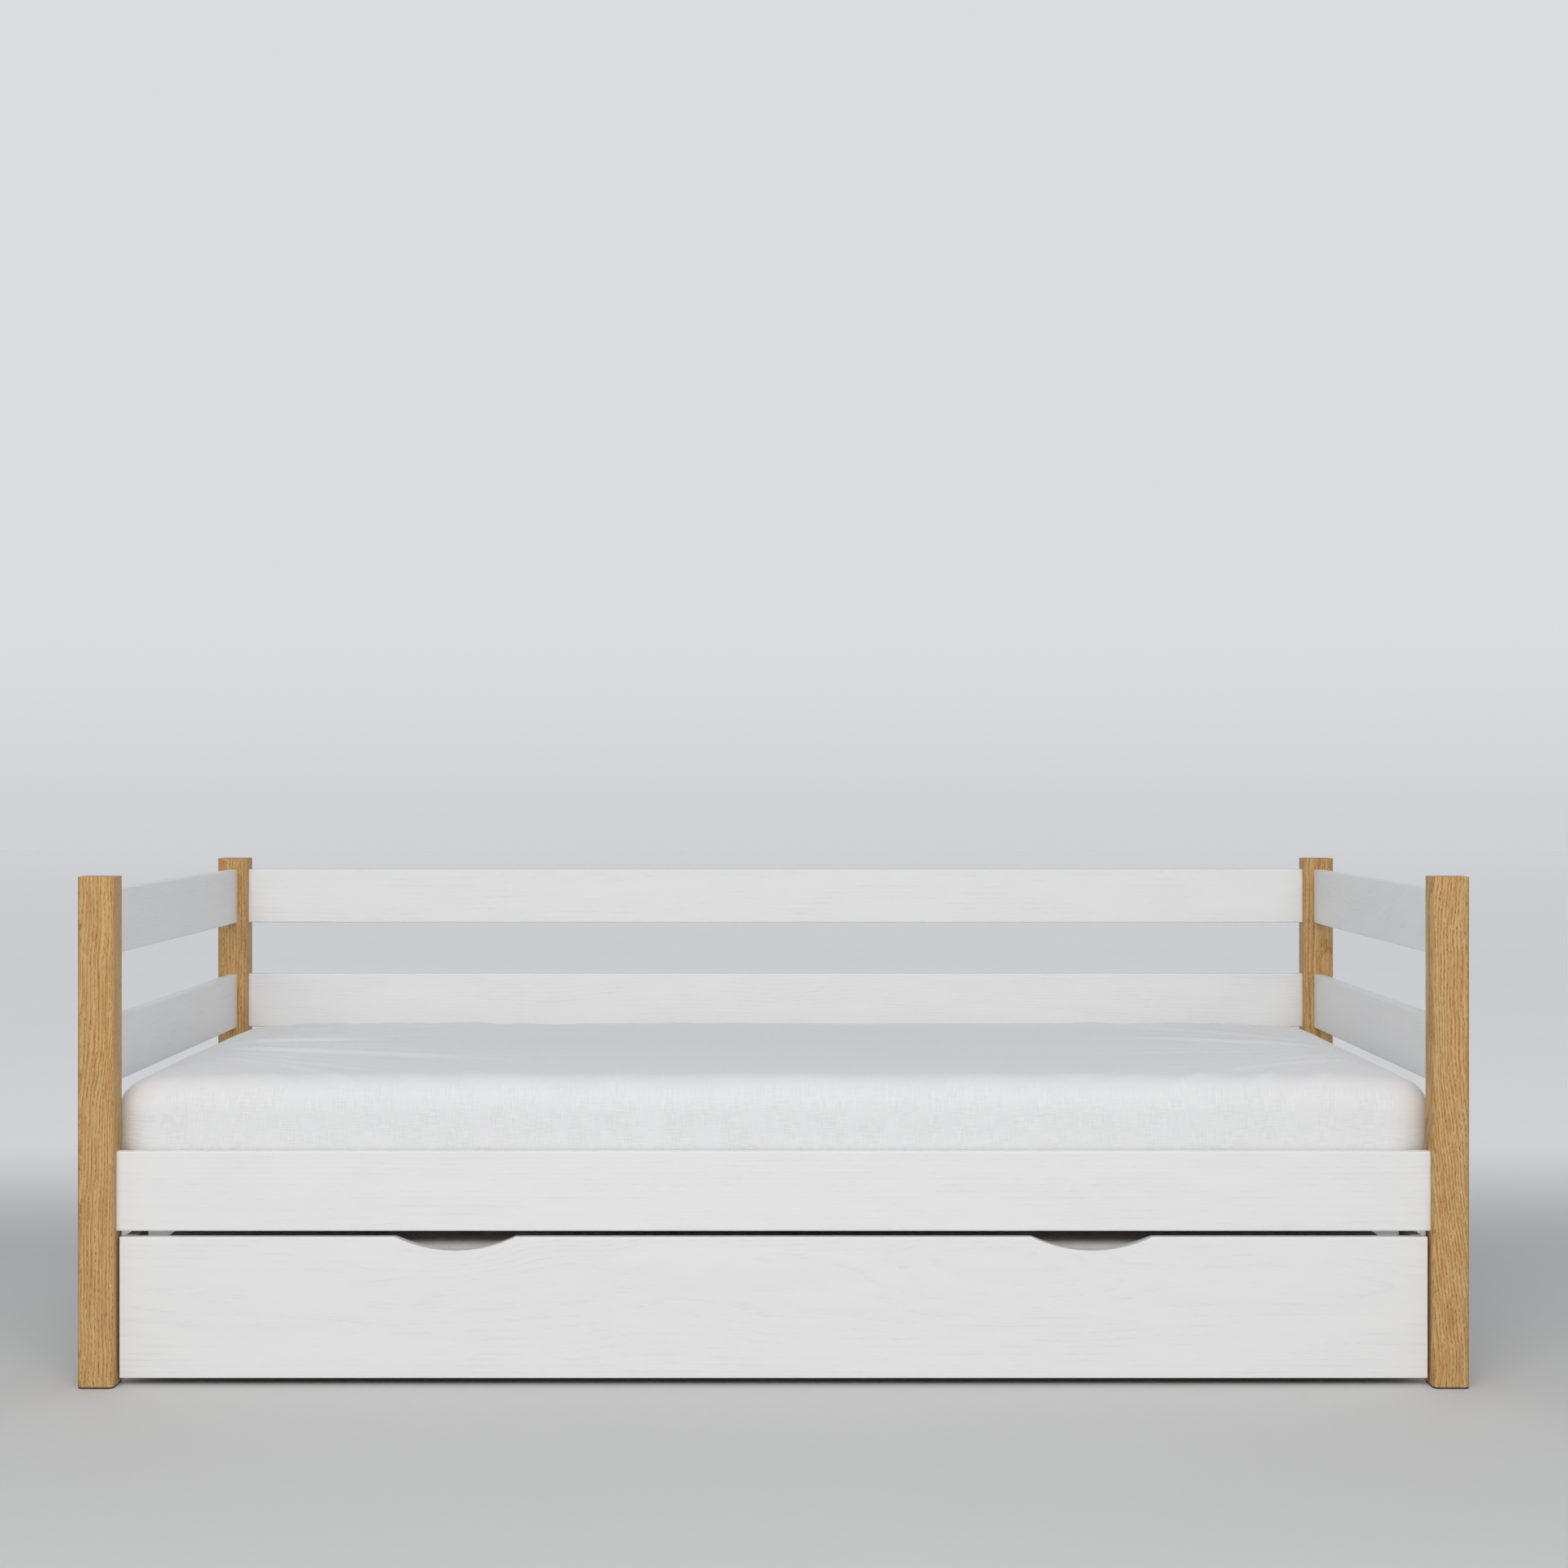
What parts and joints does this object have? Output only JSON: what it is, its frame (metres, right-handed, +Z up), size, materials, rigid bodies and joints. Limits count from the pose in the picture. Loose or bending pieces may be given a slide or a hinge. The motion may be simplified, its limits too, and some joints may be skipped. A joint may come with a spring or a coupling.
{
  "type": "trundle bed",
  "caption": "Daybed with square oak posts and white guard boards, and a low drawer bed with a guest mattress that rolls out on castors from under it.",
  "frame": {"origin": "on the floor, under the middle of the bed", "axes": "+X along the bed to its right end as seen from the front, -Y to the front, where the drawer rolls out, +Z up"},
  "size_m": [2.09, 0.99, 0.768],
  "materials": {
    "oak": "satin",
    "white_paint": "satin",
    "pine": "matte",
    "beech": "matte",
    "sheet": "matte",
    "ticking": "matte",
    "guest_cover": "matte",
    "webbing": "matte",
    "zinc_steel": "satin",
    "glide_plastic": "matte",
    "wheel_nylon": "satin"
  },
  "bodies": {
    "bed": {"post_front_left": "oak", "post_front_right": "oak", "post_back_left": "oak", "post_back_right": "oak", "post_glides": "glide_plastic", "front_rail": "white_paint", "rear_rail": "white_paint", "left_end_rail": "white_paint", "right_end_rail": "white_paint", "upper_back_rail": "white_paint", "lower_back_rail": "white_paint", "left_upper_side_rail": "white_paint", "right_upper_side_rail": "white_paint", "left_lower_side_rail": "white_paint", "right_lower_side_rail": "white_paint", "front_ledger": "pine", "rear_ledger": "pine", "bed_slat_1": "pine", "bed_slat_2": "pine", "bed_slat_3": "pine", "bed_slat_4": "pine", "bed_slat_5": "pine", "bed_slat_6": "pine", "bed_slat_7": "pine", "bed_slat_8": "pine", "bed_slat_9": "pine", "bed_slat_10": "pine", "bed_slat_11": "pine", "bed_slat_12": "pine", "bed_slat_13": "pine", "slat_webbing": "webbing", "bed_mattress": "ticking", "fitted_sheet": "sheet", "bed_bolts": "zinc_steel", "barrel_nuts": "zinc_steel", "frame_dowels": "beech", "frame_screws": "zinc_steel", "front_stops": "white_paint", "rear_stops": "white_paint"},
    "drawer": {"drawer_front": "white_paint", "drawer_back": "white_paint", "drawer_left_side": "white_paint", "drawer_right_side": "white_paint", "drawer_front_ledger": "pine", "drawer_back_ledger": "pine", "left_bearer": "pine", "middle_bearer": "pine", "right_bearer": "pine", "drawer_slats": "pine", "guest_mattress": "guest_cover", "drawer_dowels": "beech", "drawer_screws": "zinc_steel", "castor_forks": "zinc_steel", "castor_axles": "zinc_steel", "castor_screws": "zinc_steel"},
    "wheel_front_left": {"castor_wheel_front_left": "wheel_nylon"},
    "wheel_front_right": {"castor_wheel_front_right": "wheel_nylon"},
    "wheel_back_left": {"castor_wheel_back_left": "wheel_nylon"},
    "wheel_back_right": {"castor_wheel_back_right": "wheel_nylon"}
  },
  "joints": [
    {"name": "drawer_slide", "type": "slide", "parent": "bed", "child": "drawer", "axis": [0, -1, 0], "range_m": [0, 0.856]},
    {"name": "wheel_front_left_spin", "type": "hinge", "parent": "drawer", "child": "wheel_front_left", "pos_m": [-0.888, -0.3885, 0.016], "axis": [1, 0, 0], "range_deg": [0, 3070]},
    {"name": "wheel_front_right_spin", "type": "hinge", "parent": "drawer", "child": "wheel_front_right", "pos_m": [0.888, -0.3885, 0.016], "axis": [1, 0, 0], "range_deg": [0, 3070]},
    {"name": "wheel_back_left_spin", "type": "hinge", "parent": "drawer", "child": "wheel_back_left", "pos_m": [-0.888, 0.3495, 0.016], "axis": [1, 0, 0], "range_deg": [0, 3070]},
    {"name": "wheel_back_right_spin", "type": "hinge", "parent": "drawer", "child": "wheel_back_right", "pos_m": [0.888, 0.3495, 0.016], "axis": [1, 0, 0], "range_deg": [0, 3070]}
  ],
  "couplings": [
    {"joint": "wheel_front_left_spin", "follows": "drawer_slide", "rad_per_m": 62.5},
    {"joint": "wheel_front_right_spin", "follows": "drawer_slide", "rad_per_m": 62.5},
    {"joint": "wheel_back_left_spin", "follows": "drawer_slide", "rad_per_m": 62.5},
    {"joint": "wheel_back_right_spin", "follows": "drawer_slide", "rad_per_m": 62.5}
  ]
}
